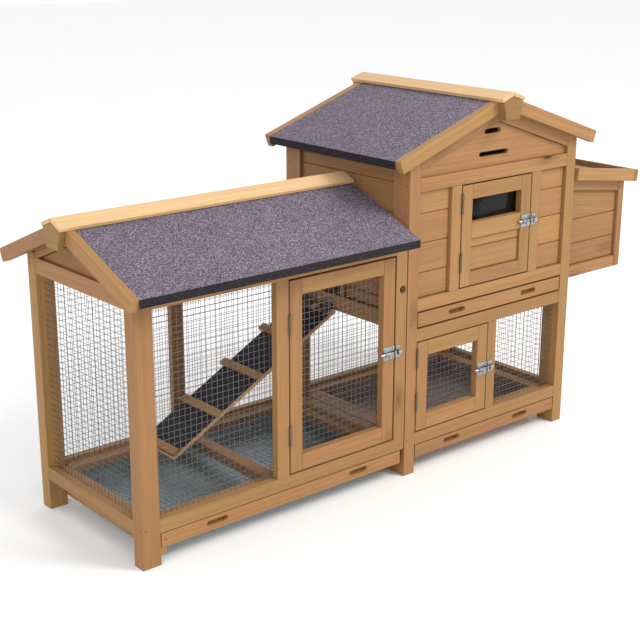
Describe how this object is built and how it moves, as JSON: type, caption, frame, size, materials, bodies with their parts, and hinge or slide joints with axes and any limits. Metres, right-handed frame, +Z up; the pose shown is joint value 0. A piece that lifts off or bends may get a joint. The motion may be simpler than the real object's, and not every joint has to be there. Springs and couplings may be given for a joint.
{
  "type": "rabbit hutch",
  "caption": "Two-storey wooden rabbit hutch with a covered mesh run, hinged doors, an inner ramp, pull-out trays and a side nest box under a lifting lid.",
  "frame": {"origin": "on the ground, under the middle of the bounding box", "axes": "+X to the right along the front, from the run to the nest box; the front with the doors faces -Y; +Z up"},
  "size_m": [1.4808, 0.492, 0.8185],
  "materials": {
    "stained_fir": "golden-brown stained softwood, satin",
    "pale_fir": "paler stained softwood, satin",
    "mineral_felt": "matt bitumen roofing felt with grey-purple mineral grains",
    "ramp_felt": "matt dark felt with fine grains",
    "welded_wire": "galvanised welded wire",
    "zinc_hardware": "bright zinc plate",
    "dark_hinge_steel": "dull bronzed steel",
    "clear_pane": "clear acrylic sheet",
    "tray_sheet": "blue-grey coated sheet steel"
  },
  "bodies": {
    "hutch": {"run_front_frame": "stained_fir", "run_back_frame": "stained_fir", "run_end_frame": "stained_fir", "run_end_gable": "stained_fir", "run_floor_frame": "stained_fir", "floor_mesh": "welded_wire", "run_front_mesh": "welded_wire", "run_back_mesh": "welded_wire", "run_end_mesh": "welded_wire", "run_roof_decks": "stained_fir", "run_roof_felt": "mineral_felt", "run_barge_boards": "stained_fir", "run_ridge_cap": "pale_fir", "house_posts": "stained_fir", "house_front_frame": "stained_fir", "house_side_rails": "stained_fir", "house_front_siding": "stained_fir", "house_front_gable": "stained_fir", "house_left_wall": "stained_fir", "house_right_wall": "stained_fir", "house_back_wall": "stained_fir", "lower_wall_mesh": "welded_wire", "house_roof_decks": "stained_fir", "house_roof_felt": "mineral_felt", "house_barge_boards": "stained_fir", "house_ridge_cap": "pale_fir", "nest_box_walls": "stained_fir", "nest_box_floor": "pale_fir", "fixed_hinge_leaves": "dark_hinge_steel", "hinge_pins": "dark_hinge_steel", "bolt_keepers": "zinc_hardware", "joining_bolts": "zinc_hardware"},
    "run_door": {"run_door_frame": "stained_fir", "run_door_mesh": "welded_wire", "run_door_hinge_leaves": "dark_hinge_steel", "run_bolt_barrel": "zinc_hardware"},
    "house_door": {"house_door_frame": "stained_fir", "house_door_panel": "stained_fir", "house_door_pane": "clear_pane", "house_door_hinge_leaves": "dark_hinge_steel", "house_bolt_barrel": "zinc_hardware"},
    "lower_door": {"lower_door_frame": "stained_fir", "lower_door_mesh": "welded_wire", "lower_door_hinge_leaves": "dark_hinge_steel", "lower_bolt_barrel": "zinc_hardware"},
    "run_bolt": {"run_bolt_rod": "zinc_hardware"},
    "house_bolt": {"house_bolt_rod": "zinc_hardware"},
    "lower_bolt": {"lower_bolt_rod": "zinc_hardware"},
    "nest_box_lid": {"nest_lid": "stained_fir", "nest_lid_hinge_leaves": "dark_hinge_steel"},
    "ramp": {"ramp_board": "pale_fir", "ramp_felt": "ramp_felt", "ramp_rungs": "stained_fir", "ramp_hinge_leaves": "dark_hinge_steel"},
    "run_tray": {"run_tray_front": "stained_fir", "run_tray_pan": "tray_sheet"},
    "house_tray": {"house_tray_front": "stained_fir", "house_tray_pan": "tray_sheet"},
    "lower_tray": {"lower_tray_front": "stained_fir", "lower_tray_pan": "tray_sheet"}
  },
  "joints": [
    {"name": "run_door_swing", "type": "hinge", "parent": "hutch", "child": "run_door", "pos_m": [-0.33863, -0.1982, 0.297], "axis": [0, 0, -1], "range_deg": [0, 165]},
    {"name": "house_door_swing", "type": "hinge", "parent": "hutch", "child": "house_door", "pos_m": [0.13637, -0.1982, 0.512], "axis": [0, 0, -1], "range_deg": [0, 150]},
    {"name": "lower_door_swing", "type": "hinge", "parent": "hutch", "child": "lower_door", "pos_m": [0.01237, -0.1982, 0.198], "axis": [0, 0, -1], "range_deg": [0, 150]},
    {"name": "run_bolt_slide", "type": "slide", "parent": "run_door", "child": "run_bolt", "axis": [1, 0, 0], "range_m": [0, 0.014]},
    {"name": "house_bolt_slide", "type": "slide", "parent": "house_door", "child": "house_bolt", "axis": [1, 0, 0], "range_m": [0, 0.014]},
    {"name": "lower_bolt_slide", "type": "slide", "parent": "lower_door", "child": "lower_bolt", "axis": [1, 0, 0], "range_m": [0, 0.014]},
    {"name": "nest_lid_lift", "type": "hinge", "parent": "hutch", "child": "nest_box_lid", "pos_m": [0.51062, 0.006, 0.621], "axis": [0, -1, 0], "range_deg": [0, 55]},
    {"name": "ramp_lift", "type": "hinge", "parent": "hutch", "child": "ramp", "pos_m": [-0.02458, 0.092, 0.336], "axis": [0, 1, 0], "range_deg": [0, 40]},
    {"name": "run_tray_pull", "type": "slide", "parent": "hutch", "child": "run_tray", "axis": [0, -1, 0], "range_m": [0, 0.3]},
    {"name": "house_tray_pull", "type": "slide", "parent": "hutch", "child": "house_tray", "axis": [0, -1, 0], "range_m": [0, 0.3]},
    {"name": "lower_tray_pull", "type": "slide", "parent": "hutch", "child": "lower_tray", "axis": [0, -1, 0], "range_m": [0, 0.3]}
  ]
}
